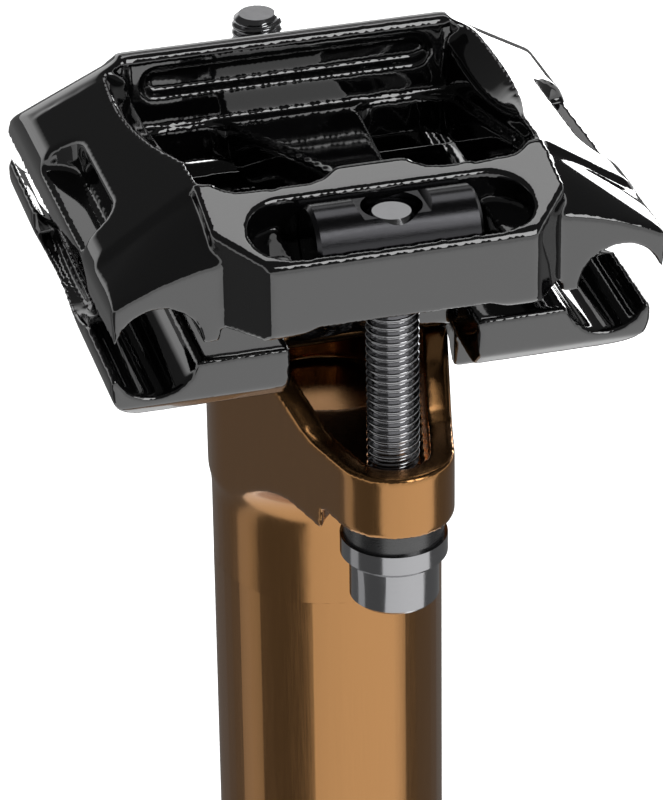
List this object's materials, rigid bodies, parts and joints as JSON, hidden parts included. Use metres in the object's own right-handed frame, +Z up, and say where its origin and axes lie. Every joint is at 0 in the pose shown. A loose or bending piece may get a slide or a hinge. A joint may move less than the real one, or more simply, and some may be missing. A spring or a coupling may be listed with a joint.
{
  "type": "dropper seatpost",
  "caption": "Telescopic dropper seatpost with a gas spring, a foot actuator and a two-bolt saddle rail clamp.",
  "frame": {"origin": "on the post's axis at the lowest point of the foot's actuator housing", "axes": "+Z up the post, Y along the saddle rails with the front at -Y, X across the rails"},
  "size_m": [0.0526, 0.059, 0.3648],
  "materials": {
    "bronze_anodised": "satin bronze anodised",
    "black_anodised": "gloss black anodised",
    "black_tube": "satin black anodised",
    "bolt_steel": "plain alloy steel",
    "nut_steel": "dark satin steel",
    "washer_black": "blackened steel",
    "rod_chrome": "hard chrome",
    "cartridge_aluminium": "clear anodised",
    "rubber": "matt",
    "bushing_plastic": "moulded",
    "brass": "machined"
  },
  "bodies": {
    "outer": {"outer_tube": "black_tube", "seal_collar": "black_tube", "wiper_seal": "rubber", "upper_bushing": "bushing_plastic", "base_cap": "black_tube", "bottom_bumper": "rubber", "gas_rod": "rod_chrome", "rod_piston": "brass", "piston_seal": "rubber", "lever_pin": "rod_chrome"},
    "lever": {"actuator_lever": "black_tube", "cable_barrel": "brass", "barrel_screw": "bolt_steel"},
    "valve": {"valve_pin": "rod_chrome"},
    "stanchion": {"upper_post": "bronze_anodised", "lower_bushing": "bushing_plastic", "slide_keys": "brass", "cartridge_tube": "cartridge_aluminium", "seal_head": "cartridge_aluminium", "rod_seal": "rubber", "top_out_bumper": "rubber", "cartridge_cap": "cartridge_aluminium", "retaining_ring": "bolt_steel", "spherical_washers": "washer_black", "flange_washers": "bolt_steel"},
    "float": {"floating_piston": "brass", "float_seal": "rubber"},
    "bolt_front": {"front_bolt": "bolt_steel"},
    "bolt_rear": {"rear_bolt": "bolt_steel"},
    "clamp": {"lower_clamp": "black_anodised", "upper_clamp": "black_anodised"},
    "nut_front": {"front_nut": "nut_steel"},
    "nut_rear": {"rear_nut": "nut_steel"}
  },
  "joints": [
    {"name": "post_slide", "type": "slide", "parent": "outer", "child": "stanchion", "axis": [0, 0, 1], "range_m": [-0.1, 0], "stiffness_N_per_m": 400, "springref_m": 0.25},
    {"name": "float_slide", "type": "slide", "parent": "stanchion", "child": "float", "axis": [0, 0, 1], "range_m": [0, 0.0214]},
    {"name": "clamp_tilt", "type": "hinge", "parent": "stanchion", "child": "clamp", "pos_m": [0, 0, 0.3592], "axis": [1, 0, 0], "range_deg": [-4, 4]},
    {"name": "front_nut_pivot", "type": "hinge", "parent": "clamp", "child": "nut_front", "pos_m": [0, -0.0238, 0.3608], "axis": [1, 0, 0], "range_deg": [-4, 4]},
    {"name": "rear_nut_pivot", "type": "hinge", "parent": "clamp", "child": "nut_rear", "pos_m": [0, 0.0238, 0.3554], "axis": [1, 0, 0], "range_deg": [-4, 4]},
    {"name": "front_bolt_turn", "type": "hinge", "parent": "stanchion", "child": "bolt_front", "pos_m": [0, -0.0238, 0.325], "axis": [0, 0, 1], "continuous": true},
    {"name": "rear_bolt_turn", "type": "hinge", "parent": "stanchion", "child": "bolt_rear", "pos_m": [0, 0.0238, 0.325], "axis": [0, 0, 1], "continuous": true},
    {"name": "lever_pull", "type": "hinge", "parent": "outer", "child": "lever", "pos_m": [0, -0.003, 0.008], "axis": [1, 0, 0], "range_deg": [0, 12]},
    {"name": "valve_lift", "type": "slide", "parent": "outer", "child": "valve", "axis": [0, 0, 1], "range_m": [0, 0.0009], "stiffness_N_per_m": 500, "springref_m": -0.002}
  ],
  "couplings": [
    {"joint": "float_slide", "follows": "post_slide", "ratio": -0.213},
    {"joint": "front_nut_pivot", "follows": "clamp_tilt", "ratio": -1},
    {"joint": "rear_nut_pivot", "follows": "clamp_tilt", "ratio": -1},
    {"joint": "lever_pull", "follows": "valve_lift", "rad_per_m": 232.7}
  ]
}
